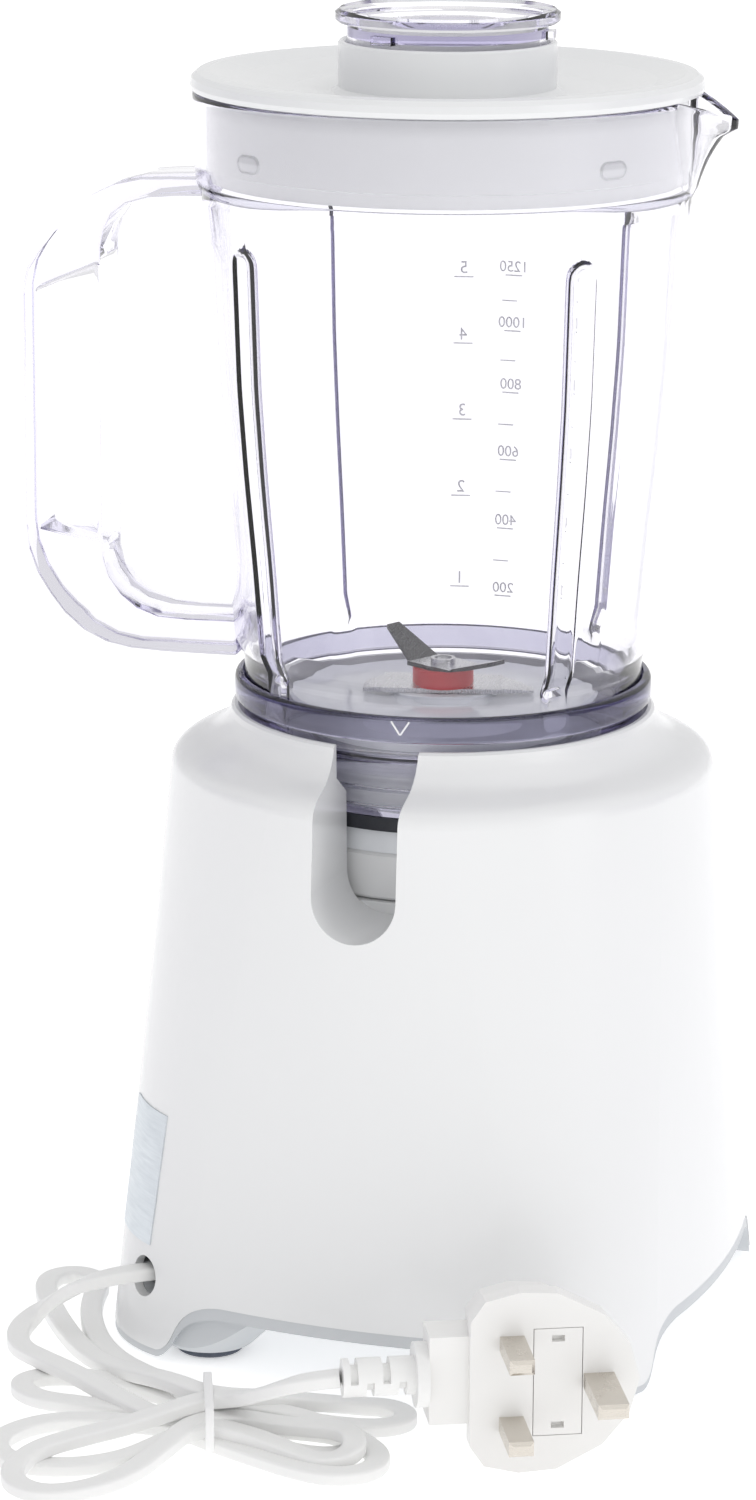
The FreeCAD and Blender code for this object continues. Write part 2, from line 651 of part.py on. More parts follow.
# ---- mains lead ---------------------------------------------------------------------
LEAD_ROUTE = [(57.9, 64.2, 21.5), (65.2, 73.4, 23.0), (75.5, 77.5, 20.5), (87.5, 73.5, 12.0), (94.5, 78.0, 5.2)]
TAIL_ROUTE = [(-16.0, 130.9, 25.1), (-7.0, 134.0, 24.0), (2.0, 131.5, 19.5), (10.0, 126.5, 14.5), (17.0, 122.5, 11.5)]
HANK_OUTLINE = [(89, 27), (104, 24), (109, 36), (106, 50), (98, 62), (100, 84), (98, 94), (88, 104), (86, 114),
                (78, 124), (77, 150), (72, 161), (62, 166), (62, 176), (50, 181), (38, 178), (30, 165), (24, 148),
                (8, 145), (-20, 146), (-30, 139), (-30, 126), (-24, 116), (-24, 98), (-18, 92), (-8, 92), (6, 102),
                (26, 108), (40, 98), (56, 86), (68, 78), (80, 58), (86, 44)]
HANK_HEIGHT = 12.0


def rounded_path(points):
    """Straight runs joined by tangent arcs, each as large as its two runs allow."""
    pts = [V(*p) for p in points]
    edges, start = [], pts[0]
    for a, b, c in zip(pts, pts[1:], pts[2:]):
        into, out = (b - a).normalize(), (c - b).normalize()
        turn = into.getAngle(out)
        trim = 0.45 * min((b - a).Length, (c - b).Length)
        radius = trim / math.tan(turn / 2)
        print(f"  lead radius {radius:6.1f} mm at a turn of {math.degrees(turn):5.1f} degrees")
        p, q = b - into * trim, b + out * trim
        bisector = (out - into).normalize()
        centre = b + bisector * (radius / math.cos(turn / 2))
        mid = centre - bisector * radius
        edges.append(Part.LineSegment(start, p).toShape())
        edges.append(Part.Arc(p, mid, q).toShape())
        start = q
    edges.append(Part.LineSegment(start, pts[-1]).toShape())
    return Part.Wire(edges)


def cord_tube(points):
    path = rounded_path(points)
    tangent = V(*points[1]) - V(*points[0])
    section = Part.Wire(Part.makeCircle(CORD_R, V(*points[0]), tangent))
    solid = path.makePipeShell([section], True, False)
    ratio = solid.Volume / (math.pi * CORD_R ** 2 * path.Length)
    print(f"  lead run {path.Length:6.1f} mm, volume over section times length {ratio:.4f}")
    return solid


def cord_hank():
    """Outer shape of the tied hank as it lies on the floor."""
    corners = [V(x, y, 0.0) for x, y in HANK_OUTLINE]
    wire = Part.makePolygon(corners + [corners[0]])
    return Part.Face(wire).extrude(V(0, 0, HANK_HEIGHT))


def cord_tie():
    """Plastic strap round the middle of the hank."""
    strap = box(-1.2, 1.2, -16.5, 16.5, HANK_HEIGHT, HANK_HEIGHT + 1.2)
    knot = box(-1.8, 1.8, -3.0, 3.0, HANK_HEIGHT + 1.2, HANK_HEIGHT + 3.0)
    tie = strap.fuse(knot)
    tie.rotate(V(0, 0, 0), Z, 22)
    tie.translate(V(23.5, 122.5, 0))
    return tie


# The plug stands on its edge: (along, out, up) from the middle of its two live pins, at its face.
PLUG_AT = V(-58.7, 119.2, 24.8)
PLUG_TURN = 206.4


def place_plug(shape):
    """Local +X runs to the earth pin, local +Y to the cable's side of the body, local +Z up."""
    shape.rotate(V(0, 0, 0), Z, PLUG_TURN)
    shape.translate(PLUG_AT)
    return shape


PLUG_FACE = [(-10.8, -17.0), (-10.8, 17.0), (-7.0, 22.6), (2.0, 24.8), (12.0, 24.2), (24.0, 18.0), (31.0, 9.5),
             (33.6, 0.0), (31.0, -9.5), (24.0, -18.0), (12.0, -24.2), (2.0, -24.8), (-7.0, -22.6)]


def plug_section(scale_x, scale_z, y):
    corners = [V(x * scale_x, y, z * scale_z) for x, z in PLUG_FACE]
    return Part.makePolygon(corners + [corners[0]])


def plug_body():
    """Moulded three-pin plug with a recessed grip flank."""
    stations = [(1.0, 1.0, 0.0), (1.0, 1.0, 5.5), (0.93, 0.93, 7.5), (0.86, 0.84, 19.0), (0.76, 0.74, 21.0)]
    body = Part.makeLoft([plug_section(*s) for s in stations], True, True)
    block = box(-21.0, -8.0, 2.5, 14.5, -11.5, 12.5)
    body = body.fuse(block)
    return place_plug(body.cut(box(5.6, 18.6, -1, 8.0, -14.8, 14.8)))


def plug_fuse_cover():
    cover = box(5.8, 18.4, 0.0, 7.8, -14.6, 14.6)
    for z in (-12.8, 11.0):
        cover = cover.cut(box(10.4, 13.8, -1, 2.0, z, z + 1.8))
    return place_plug(cover)


def plug_pins():
    """Two flat pins of the live and neutral sides."""
    pins = []
    for z in (-11.1, 11.1):
        pin = box(-3.2, 3.2, -17.7, 0.0, z - 2.0, z + 2.0)
        tips = [e for e in pin.Edges if e.BoundBox.YMax < -17.6]
        pins.append(pin.makeChamfer(0.9, tips))
    return place_plug(Part.makeCompound(pins))


def plug_earth_pin():
    pin = box(18.8, 26.8, -22.7, 0.0, -2.0, 2.0)
    tips = [e for e in pin.Edges if e.BoundBox.YMax < -22.6]
    return place_plug(pin.makeChamfer(0.9, tips))


def plug_strain_relief():
    """Ribbed sleeve where the lead leaves the plug."""
    flange = Part.makeCylinder(8.6, 3.2, V(-21.0, 8.5, 0.3), V(-1, 0, 0))
    barrel = Part.makeCylinder(5.1, 19.0, V(-24.0, 8.5, 0.3), V(-1, 0, 0))
    sleeve = flange.fuse(barrel)
    for i in range(4):
        side = 1 if i % 2 else -1
        slot_cut = box(-28.6 - 4.2 * i, -26.6 - 4.2 * i, 0, 20, 0.3 + side * 2.6 - 2.8, 0.3 + side * 2.6 + 2.8)
        sleeve = sleeve.cut(slot_cut.cut(Part.makeCylinder(3.4, 40, V(-20, 8.5, 0.3), V(-1, 0, 0))))
    return place_plug(sleeve)


NODES = {
    "motor_housing": motor_housing,
    "bottom_cover": bottom_cover,
    "rubber_feet": rubber_feet,
    "cover_screws": cover_screws,
    "rating_label": rating_label,
    "knob_bezel": knob_bezel,
    "selector_switch": selector_switch,
    "stator_core": stator_core,
    "field_coils": field_coils,
    "motor_bracket_upper": lambda: motor_bracket(109.5, 116.9),
    "motor_bracket_lower": lambda: motor_bracket(28.5, 35.9),
    "bracket_screws": bracket_screws,
    "bearing_upper": lambda: bearing(109.6),
    "bearing_lower": lambda: bearing(28.7),
    "brush_holders": brush_holders,
    "carbon_brushes": carbon_brushes,
    "motor_dampers": motor_dampers,
    "motor_carrier": motor_carrier,
    "cord_clamp": cord_clamp,
    "speed_knob": speed_knob,
    "switch_spindle": switch_spindle,
    "armature_shaft": armature_shaft,
    "armature_core": armature_core,
    "armature_windings": armature_windings,
    "commutator": commutator,
    "cooling_fan": cooling_fan,
    "drive_coupling": drive_coupling,
    "jar_body": jar_body,
    "jar_gasket": jar_gasket,
    "blade_holder": blade_holder,
    "blade_collar": blade_collar,
    "spindle_bush": spindle_bush,
    "spindle_seal": spindle_seal,
    "blade_spindle": blade_spindle,
    "upper_blade": upper_blade,
    "lower_blade": lower_blade,
    "blade_spacer": blade_spacer,
    "blade_nut": blade_nut,
    "driven_coupling": driven_coupling,
    "lid": lid,
    "measuring_cap": measuring_cap,
    "cord_lead": lambda: cord_tube(LEAD_ROUTE),
    "cord_hank": cord_hank,
    "cord_tail": lambda: cord_tube(TAIL_ROUTE),
    "cord_tie": cord_tie,
    "plug_body": plug_body,
    "plug_fuse_cover": plug_fuse_cover,
    "plug_pins": plug_pins,
    "plug_earth_pin": plug_earth_pin,
    "plug_strain_relief": plug_strain_relief,
}

for node, make in NODES.items():
    save(node, make())
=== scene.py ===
import math

import bmesh
import bpy
from mathutils import Matrix, Vector


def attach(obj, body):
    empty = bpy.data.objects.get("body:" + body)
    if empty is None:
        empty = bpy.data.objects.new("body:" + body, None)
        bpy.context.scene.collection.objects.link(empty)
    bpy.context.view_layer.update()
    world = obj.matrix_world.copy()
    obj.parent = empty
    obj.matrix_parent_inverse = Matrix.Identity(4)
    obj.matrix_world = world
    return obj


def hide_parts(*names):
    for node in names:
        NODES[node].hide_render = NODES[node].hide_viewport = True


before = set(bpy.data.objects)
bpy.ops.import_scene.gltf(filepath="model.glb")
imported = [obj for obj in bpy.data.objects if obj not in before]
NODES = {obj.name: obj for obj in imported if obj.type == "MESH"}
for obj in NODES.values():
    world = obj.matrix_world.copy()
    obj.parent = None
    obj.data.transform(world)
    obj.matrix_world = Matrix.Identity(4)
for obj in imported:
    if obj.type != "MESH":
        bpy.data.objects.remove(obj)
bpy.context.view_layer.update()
MM = 0.001

# ---- camera -------------------------------------------------------------------------
# Object frame: -Y is the knob side, +Z is up. The camera looks at the back, a little to one side.
VIEW_TURN = math.radians(18.0)
TO_CAMERA = Vector((-math.sin(VIEW_TURN), math.cos(VIEW_TURN), 0.0))
VIEW_RIGHT = Vector((-math.cos(VIEW_TURN), -math.sin(VIEW_TURN), 0.0))
UP = Vector((0.0, 0.0, 1.0))


def make_camera(distance, height, lens, pitch, yaw, roll):
    data = bpy.data.cameras.new("camera")
    data.lens, data.sensor_width, data.sensor_fit = lens, 36.0, "AUTO"
    data.clip_start, data.clip_end = 0.05, 20.0
    camera = bpy.data.objects.new("camera", data)
    bpy.context.scene.collection.objects.link(camera)
    pitch, yaw, roll = math.radians(pitch), math.radians(yaw), math.radians(roll)
    ahead = VIEW_RIGHT * math.sin(yaw) * math.cos(pitch) - TO_CAMERA * math.cos(yaw) * math.cos(pitch)
    ahead -= UP * math.sin(pitch)
    right = VIEW_RIGHT * math.cos(yaw) + TO_CAMERA * math.sin(yaw)
    top = right.cross(ahead)
    side = right * math.cos(roll) + top * math.sin(roll)
    top = top * math.cos(roll) - right * math.sin(roll)
    turn = Matrix((side, top, -ahead)).transposed().to_4x4()
    camera.matrix_world = Matrix.Translation(TO_CAMERA * distance + UP * height) @ turn
    bpy.context.scene.camera = camera
    return camera


make_camera(distance=1.295, height=0.498, lens=116.09, pitch=14.68, yaw=-0.79, roll=0.23)


# ---- materials ----------------------------------------------------------------------
class Nodes:
    """A material's node tree, with short calls for the few nodes that every finish here uses."""

    def __init__(self, name):
        self.material = bpy.data.materials.new(name)
        self.material.use_nodes = True
        self.tree = self.material.node_tree
        self.tree.nodes.clear()
        self.out = self.add("ShaderNodeOutputMaterial")
        self.place = self.add("ShaderNodeTexCoord").outputs["Object"]

    def add(self, kind, inputs=None, **settings):
        node = self.tree.nodes.new(kind)
        for key, value in settings.items():
            setattr(node, key, value)
        for key, value in (inputs or {}).items():
            if isinstance(value, bpy.types.NodeSocket):
                self.tree.links.new(value, node.inputs[key])
            else:
                node.inputs[key].default_value = value
        return node

    def scaled(self, stretch):
        return self.add("ShaderNodeMapping", {"Vector": self.place, "Scale": stretch}).outputs["Vector"]

    def noise(self, scale, detail=3.0, roughness=0.5, vector=None):
        made = self.add("ShaderNodeTexNoise", {"Vector": vector or self.place, "Scale": scale, "Detail": detail,
                                               "Roughness": roughness})
        return made.outputs["Fac"]

    def spread(self, value, low, high):
        made = self.add("ShaderNodeMapRange", {"Value": value, "From Min": 0.3, "From Max": 0.7, "To Min": low,
                                               "To Max": high})
        return made.outputs["Result"]

    def colours(self, value, low, high, start=0.3, stop=0.7):
        made = self.add("ShaderNodeValToRGB", {"Fac": value})
        made.color_ramp.elements[0].position, made.color_ramp.elements[1].position = start, stop
        made.color_ramp.elements[0].color = (*low, 1.0)
        made.color_ramp.elements[1].color = (*high, 1.0)
        return made.outputs["Color"]

    def bump(self, height, depth, normal=None):
        inputs = {"Height": height, "Strength": 1.0, "Distance": depth}
        if normal is not None:
            inputs["Normal"] = normal
        return self.add("ShaderNodeBump", inputs).outputs["Normal"]

    def surface(self, shader, kind="Surface"):
        self.tree.links.new(shader, self.out.inputs[kind])


def shade(colour, amount):
    return tuple(max(0.0, min(1.0, c * amount)) for c in colour)


def moulded(name, colour, rough, vary=0.03, grain=0.000015, grain_size=900.0, specular=0.5, glow=0.0):
    """Moulded plastic: a slow drift of colour and gloss, and a fine spark-eroded grain. A glow, which is painted
    light, lifts the lower part of a piece that only gets light through clear plastic."""
    n = Nodes(name)
    drift = n.noise(14.0, 4.0)
    fine = n.noise(grain_size, 2.0)
    normal = n.bump(fine, grain)
    shader = n.add("ShaderNodeBsdfPrincipled", {
        "Base Color": n.colours(drift, shade(colour, 1.0 - vary), shade(colour, 1.0 + vary * 0.4)),
        "Roughness": n.spread(n.noise(40.0, 3.0), rough * 0.85, rough * 1.15),
        "Normal": normal, "Specular IOR Level": specular})
    # painted light: emission on the lower part of the piece, fading out upwards
    if glow:
        parts = n.add("ShaderNodeSeparateXYZ", {"Vector": n.add("ShaderNodeTexCoord").outputs["Generated"]})
        fade = n.add("ShaderNodeMapRange", {"Value": parts.outputs["Z"], "From Min": 0.5, "From Max": 0.62,
                                            "To Min": glow, "To Max": 0.0})
        shader.inputs["Emission Color"].default_value = (1.0, 1.0, 1.0, 1.0)
        n.tree.links.new(fade.outputs["Result"], shader.inputs["Emission Strength"])
    n.surface(shader.outputs["BSDF"])
    return n.material


def metal(name, colour, rough, stretch=(1.0, 1.0, 30.0), lines=300.0, depth=0.00001, vary=0.08, lean=False):
    """Metal with a drawn or turned finish: fine lines in roughness, colour and height. With lean, faces that don't
    lie flat get painted shade, down to about a fifth of the colour, and flat faces get a painted highlight, half as
    bright again."""
    n = Nodes(name)
    lined = n.noise(lines, 4.0, 0.6, n.scaled(stretch))
    blotch = n.noise(25.0, 3.0)
    shader = n.add("ShaderNodeBsdfPrincipled", {
        "Base Color": n.colours(blotch, shade(colour, 1.0 - vary), shade(colour, 1.0 + vary)),
        "Roughness": n.spread(lined, rough * 0.7, rough * 1.3), "Metallic": 1.0,
        "Normal": n.bump(lined, depth)})
    # painted shade and highlight by which way each face points: tilted faces darker, flat faces lighter
    if lean:
        facing = n.add("ShaderNodeSeparateXYZ", {"Vector": n.add("ShaderNodeNewGeometry").outputs["Normal"]})
        shader.inputs["Base Color"].default_value = (*colour, 1.0)
        n.tree.links.new(n.colours(facing.outputs["Z"], shade(colour, 0.22), shade(colour, 1.5), 0.90, 0.995),
                         shader.inputs["Base Color"])
    n.surface(shader.outputs["BSDF"])
    return n.material


def rubber(name, colour, rough=0.7):
    n = Nodes(name)
    speck = n.noise(1500.0, 2.0)
    shader = n.add("ShaderNodeBsdfPrincipled", {
        "Base Color": n.colours(n.noise(50.0, 4.0), shade(colour, 0.85), shade(colour, 1.1)),
        "Roughness": n.spread(speck, rough - 0.08, rough + 0.08), "Normal": n.bump(speck, 0.00003),
        "Specular IOR Level": 0.35})
    n.surface(shader.outputs["BSDF"])
    return n.material


def clear(name, tint, soak, density, ior=1.45, ripple=0.000004):
    """Clear plastic that lets lamps through, with the violet tint that only long ways through it show."""
    n = Nodes(name)
    wave = n.noise(18.0, 2.0)
    glass = n.add("ShaderNodeBsdfPrincipled", {
        "Base Color": n.colours(n.noise(9.0, 2.0), shade(tint, 0.99), tint),
        "Roughness": n.spread(n.noise(30.0, 2.0), 0.0, 0.012), "IOR": ior, "Transmission Weight": 1.0,
        "Normal": n.bump(wave, ripple)})
    through = n.add("ShaderNodeBsdfTransparent", {"Color": (*shade(tint, 0.97), 1.0)})
    ray = n.add("ShaderNodeLightPath").outputs["Is Shadow Ray"]
    mixed = n.add("ShaderNodeMixShader", {"Fac": ray})
    n.tree.links.new(glass.outputs["BSDF"], mixed.inputs[1])
    n.tree.links.new(through.outputs["BSDF"], mixed.inputs[2])
    n.surface(mixed.outputs["Shader"])
    absorb = n.add("ShaderNodeVolumeAbsorption", {"Color": (*soak, 1.0), "Density": density})
    n.surface(absorb.outputs["Volume"], "Volume")
    return n.material


WHITE_SHELL = moulded("white_shell", (0.835, 0.84, 0.843), 0.20, vary=0.008, grain=0.0000008)
# the lid's lower part gets painted light, a glow in place of the light the clear jar keeps from it
LID_WHITE = moulded("lid_white", (0.82, 0.828, 0.832), 0.20, vary=0.010, grain=0.0000015, glow=0.13)
GREY_TRIM = moulded("grey_trim", (0.60, 0.62, 0.64), 0.42, vary=0.03)
FOOT_RUBBER = rubber("foot_rubber", (0.11, 0.125, 0.16))
STEEL = metal("steel", (0.60, 0.60, 0.61), 0.28)
# painted shade on the blade's tilted wings, painted highlight on its flat faces
BLADE_STEEL = metal("blade_steel", (0.42, 0.42, 0.43), 0.30, stretch=(8.0, 1.0, 1.0), lines=500.0, lean=True)
WING_STEEL = metal("wing_steel", (0.66, 0.66, 0.67), 0.28, stretch=(8.0, 1.0, 1.0), lines=500.0)
FOIL = metal("label_foil", (0.66, 0.70, 0.73), 0.42, stretch=(1.0, 1.0, 20.0), lines=120.0, vary=0.03)
BLACK = moulded("black_plastic", (0.035, 0.035, 0.04), 0.42, vary=0.15)
LAMINATION = metal("lamination", (0.30, 0.31, 0.33), 0.45, stretch=(0.1, 0.1, 14.0), lines=160.0, depth=0.00008)
COPPER = metal("copper", (0.80, 0.38, 0.20), 0.30, stretch=(1.0, 1.0, 9.0), lines=260.0, depth=0.00008)
BRASS = metal("brass", (0.80, 0.62, 0.32), 0.30)
CARBON = moulded("carbon", (0.045, 0.045, 0.048), 0.55, vary=0.2, grain=0.00003)
CAST = metal("cast_aluminium", (0.62, 0.63, 0.64), 0.45, stretch=(1.0, 1.0, 1.0), lines=700.0, depth=0.00003)
CLEAR = clear("clear_plastic", (1.0, 1.0, 1.0), (0.60, 0.565, 0.77), 34.0)
CLEAR_GRIP = clear("clear_grip", (1.0, 1.0, 1.0), (0.60, 0.565, 0.77), 16.0)
# a darker copy of the clear plastic: painted shade for the dark bands that thick clear parts show
CLEAR_PAINTED_SHADE = clear("clear_plastic_painted_shade", (0.99, 0.99, 1.0), (0.22, 0.20, 0.44), 300.0)
SCALE_INK = moulded("scale_relief", (0.95, 0.95, 0.96), 0.5, vary=0.05)
MARK_WHITE = moulded("mark_white", (0.9, 0.9, 0.9), 0.5, vary=0.02)
SEAL = rubber("dark_seal", (0.03, 0.032, 0.04), 0.5)
PALE_GREY = moulded("pale_grey_plastic", (0.84, 0.86, 0.89), 0.11, vary=0.02, grain=0.0000015)
RED = moulded("red_plastic", (0.62, 0.035, 0.045), 0.35, vary=0.08)
CORD_WHITE = moulded("cord_white", (0.88, 0.88, 0.87), 0.38, vary=0.03, grain=0.00002, grain_size=500.0)
TIE_WHITE = moulded("tie_white", (0.90, 0.90, 0.90), 0.40, vary=0.02)
PLUG_WHITE = moulded("plug_white", (0.88, 0.875, 0.86), 0.36, vary=0.02, grain=0.00001)
PIN_NICKEL = metal("plated_pin", (0.66, 0.62, 0.56), 0.24, stretch=(1.0, 1.0, 12.0), lines=220.0, vary=0.05)

MOVING_WHITE = WHITE_SHELL.copy()

FINISH = {
    WHITE_SHELL: ["motor_housing"],
    LID_WHITE: ["lid"],
    GREY_TRIM: ["bottom_cover", "knob_bezel"],
    FOOT_RUBBER: ["rubber_feet", "motor_dampers"],
    STEEL: ["cover_screws", "armature_shaft", "bracket_screws", "blade_spindle", "blade_nut", "bearing_lower",
            "bearing_upper"],
    BLADE_STEEL: ["upper_blade"],
    WING_STEEL: ["lower_blade", "motor_carrier"],
    FOIL: ["rating_label"],
    BLACK: ["selector_switch", "switch_spindle", "cooling_fan", "brush_holders", "drive_coupling",
            "driven_coupling", "cord_clamp"],
    LAMINATION: ["stator_core", "armature_core"],
    COPPER: ["field_coils", "armature_windings", "commutator"],
    BRASS: ["spindle_bush"],
    CARBON: ["carbon_brushes"],
    CAST: ["motor_bracket_lower", "motor_bracket_upper"],
    CLEAR: ["measuring_cap"],
    SEAL: ["jar_gasket", "spindle_seal"],
    PALE_GREY: ["blade_holder"],
    MOVING_WHITE: ["blade_collar", "speed_knob"],
    RED: ["blade_spacer"],
    CORD_WHITE: ["cord_lead", "cord_hank", "cord_tail", "plug_strain_relief"],
    TIE_WHITE: ["cord_tie"],
    PLUG_WHITE: ["plug_body", "plug_fuse_cover"],
    PIN_NICKEL: ["plug_pins", "plug_earth_pin"],
}


def paint(piece, material):
    if not piece.material_slots:
        piece.data.materials.append(material)
    for slot in piece.material_slots:
        slot.material = material


for finish_material, names in FINISH.items():
    for node_name in names:
        paint(NODES[node_name], finish_material)


# ---- mains lead: one flat cord, wound into a loose hank ------------------------------
FLAT_WIDTH, FLAT_THICK = 6.2, 3.8
CORD_ROUTE = [
    # out of the corner of the base, round and down to the worktop
    (57.9, 64.2, 21.5), (65.2, 73.4, 23.0), (75.5, 77.5, 20.5), (82.5, 74.5, 16.0), (88.2, 73.0, 11.5),
    (93.8, 74.5, 7.2), (95.5, 81.5, 4.8),
    # first turn
    (90.5, 92.0, 4.6), (80, 101, 6.2), (66, 109, 6.4), (52, 116, 4.5), (37, 123, 3.3),
    (20.1, 131.3, 2.9), (6, 137, 2.9), (-9, 141, 2.2), (-19, 141.5, 2.2), (-26, 136, 2.2), (-26, 127, 2.2),
    (-20, 119.5, 2.4), (-8, 115.5, 4.5), (8, 114.5, 6.2), (26, 116, 6.2),
    # long turn under the corner of the base
    (40, 104, 5.0), (52, 95, 3.0), (64, 86, 2.2), (74, 75, 2.2), (83, 59, 2.2), (88, 44, 2.2),
    (89.5, 35.5, 2.2),
    (94, 29.5, 2.2), (100.5, 28.5, 2.2), (105, 33.5, 2.2), (104, 41, 2.2), (100, 49, 2.2), (93, 60, 2.2),
    (82, 75, 2.2), (70, 88, 2.4), (56, 99, 5.0),
    (40, 109, 8.5), (24.8, 119.2, 10.0), (10, 112, 8.5), (-2, 102, 5.0), (-9.5, 95.5, 2.6), (-16.5, 93, 2.2),
    (-22.5, 96, 2.2), (-24, 102, 2.2), (-19.5, 107, 2.2), (-12, 109, 2.2), (-3, 109.5, 2.2),
    (12, 111, 2.9), (27.1, 113.2, 2.9),
    # third turn
    (42, 105, 2.2), (54, 101.5, 2.2), (66, 100, 2.2), (76, 101.5, 2.2), (82, 107, 2.2), (81, 114, 2.2),
    (73, 119, 2.2), (62, 118.5, 2.2), (48, 118.5, 2.2), (36, 119, 2.9), (24.6, 119.7, 2.9),
    (10, 118, 2.9), (-2, 115.5, 2.2), (-9, 115, 2.2), (-15, 118, 2.2), (-17.3, 123.5, 2.2),
    (-14.5, 128.5, 2.2), (-9, 130.3, 2.2), (-2, 130, 2.2),
    (10, 128, 2.9), (22.2, 125.8, 2.9),
    # fourth turn
    (36, 126.5, 2.9), (50, 126.5, 2.2), (62, 130, 2.2), (70, 138, 2.2), (73, 149, 2.2), (68, 158, 2.2),
    (58, 161, 2.2), (46, 157.5, 2.2), (36, 148, 2.2), (29, 138, 4.26), (21.2, 129.5, 6.2), (8, 132, 6.0),
    (-4, 135, 4.5), (-11, 136.3, 3.4), (-17, 135, 3.8), (-20.3, 130.5, 5.6), (-17.5, 125.6, 7.6),
    (-11.5, 123.6, 7.4), (-4, 123.2, 6.6), (4, 123, 6.2),
    (16, 122.5, 6.4),
    # last turn, nearest the camera
    (25, 129, 6.4), (28, 143, 4.38), (32, 159, 2.2), (40, 172, 2.2), (49, 177, 2.2), (58, 173, 2.2),
    (61, 166, 3.5), (57, 158, 6.2), (50, 148, 6.2), (40, 136, 6.5), (30, 127, 9.0), (24, 121.5, 10.0),
    # up to the plug
    (17, 122.5, 11.5), (10, 126.5, 14.5), (2, 131.5, 19.5), (-7, 134, 24.0), (-16, 130.9, 25.1)]


def link(piece):
    bpy.context.scene.collection.objects.link(piece)
    return piece


def oval(name, width, thick):
    """Closed profile of a flat cord: straight sides with half-round edges."""
    data = bpy.data.curves.new(name, "CURVE")
    data.dimensions = "2D"
    spline = data.splines.new("NURBS")
    spline.points.add(7)
    w, t = width / 2, thick / 2
    corners = [(w, 0), (w, t), (0, t), (-w, t), (-w, 0), (-w, -t), (0, -t), (w, -t)]
    for point, (x, y) in zip(spline.points, corners):
        point.co = (x * MM, y * MM, 0, 1)
    spline.order_u, spline.use_cyclic_u = 3, True
    piece = link(bpy.data.objects.new(name, data))
    piece.hide_render = True
    piece.hide_viewport = True
    return piece


def nurbs(name, points, profile=None, depth=0.0):
    data = bpy.data.curves.new(name, "CURVE")
    data.dimensions, data.twist_mode, data.resolution_u = "3D", "Z_UP", 10
    spline = data.splines.new("NURBS")
    spline.points.add(len(points) - 1)
    for point, place in zip(spline.points, points):
        point.co = (*[v * MM for v in place], 1.0)
    spline.order_u, spline.use_endpoint_u = 3, True
    if profile is not None:
        data.bevel_mode, data.bevel_object = "OBJECT", profile
    else:
        data.bevel_depth, data.bevel_resolution = depth * MM, 6
    data.use_fill_caps = True
    return link(bpy.data.objects.new(name, data))


profile = oval("cord_profile", FLAT_WIDTH, FLAT_THICK)
mains_cord = nurbs("mains_cord", CORD_ROUTE, profile)
paint(mains_cord, CORD_WHITE)
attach(mains_cord, "base")
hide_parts("cord_lead", "cord_hank", "cord_tail")


# ---- building pieces from points -----------------------------------------------------
def ring_faces(turns, rows):
    """Faces of a closed section of so many rows, carried round a full turn of so many steps."""
    faces = []
    for i in range(turns):
        here, there = i * rows, ((i + 1) % turns) * rows
        for k in range(rows):
            n = (k + 1) % rows
            faces.append((here + k, there + k, there + n, here + n))
    return faces


def smooth(piece, bevel=0.0, segments=3, angle=35.0):
    for polygon in piece.data.polygons:
        polygon.use_smooth = True
    if bevel:
        edge = piece.modifiers.new("edge", "BEVEL")
        edge.width, edge.segments, edge.limit_method = bevel * MM, segments, "ANGLE"
        edge.angle_limit = math.radians(angle)
        edge.harden_normals = False
    return piece


def solid(name, points, faces, material, body):
    """A piece from points in millimetres and faces, with normals turned outwards."""
    mesh = bpy.data.meshes.new(name)
    mesh.from_pydata([[v * MM for v in p] for p in points], [], faces)
    shape = bmesh.new()
    shape.from_mesh(mesh)
    bmesh.ops.recalc_face_normals(shape, faces=shape.faces)
    shape.to_mesh(mesh)
    shape.free()
    piece = link(bpy.data.objects.new(name, mesh))
    paint(piece, material)
    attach(piece, body)
    return piece


# ---- strap round the middle of the hank ----------------------------------------------
def band(name, line, side, width, thick, material, body):
    """A strap of rectangular section along a closed line; side is the strap's width direction."""
    points, faces = [], []
    count = len(line)
    for i in range(count):
        before, here, after = line[i - 1], line[i], line[(i + 1) % count]
        run = (after - before).normalized()
        out = run.cross(side).normalized()
        for w, t in ((-1, 0), (1, 0), (1, 1), (-1, 1)):
            points.append(here + side * (w * width / 2) + out * (t * thick))
    for i in range(count):
        a, b = 4 * i, 4 * ((i + 1) % count)
        for k in range(4):
            faces.append((a + k, a + (k + 1) % 4, b + (k + 1) % 4, b + k))
    return solid(name, points, faces, material, body)


def tie_line(near, far, low, high, corner, steps=5):
    """Rounded rectangle in the (along, up) plane."""
    corners = [(far - corner, high - corner, 0), (near + corner, high - corner, 90),
               (near + corner, low + corner, 180), (far - corner, low + corner, 270)]
    line = []
    for x, z, start in corners:
        for i in range(steps + 1):
            a = math.radians(start + 90 * i / steps)
            line.append((x + corner * math.cos(a), z + corner * math.sin(a)))
    return line


TIE_AT = Vector((23.5, 122.5, 0.0))
TIE_ALONG = Vector((-math.sin(math.radians(22)), math.cos(math.radians(22)), 0.0))
TIE_SIDE = Vector((math.cos(math.radians(22)), math.sin(math.radians(22)), 0.0))
tie_loop = [TIE_AT + TIE_ALONG * x + UP * z for x, z in tie_line(-14.5, 14.5, 1.0, 12.6, 3.4)]
cord_strap = smooth(band("cord_strap", tie_loop, TIE_SIDE, 2.3, 0.9, TIE_WHITE, "base"), 0.25)
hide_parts("cord_tie")


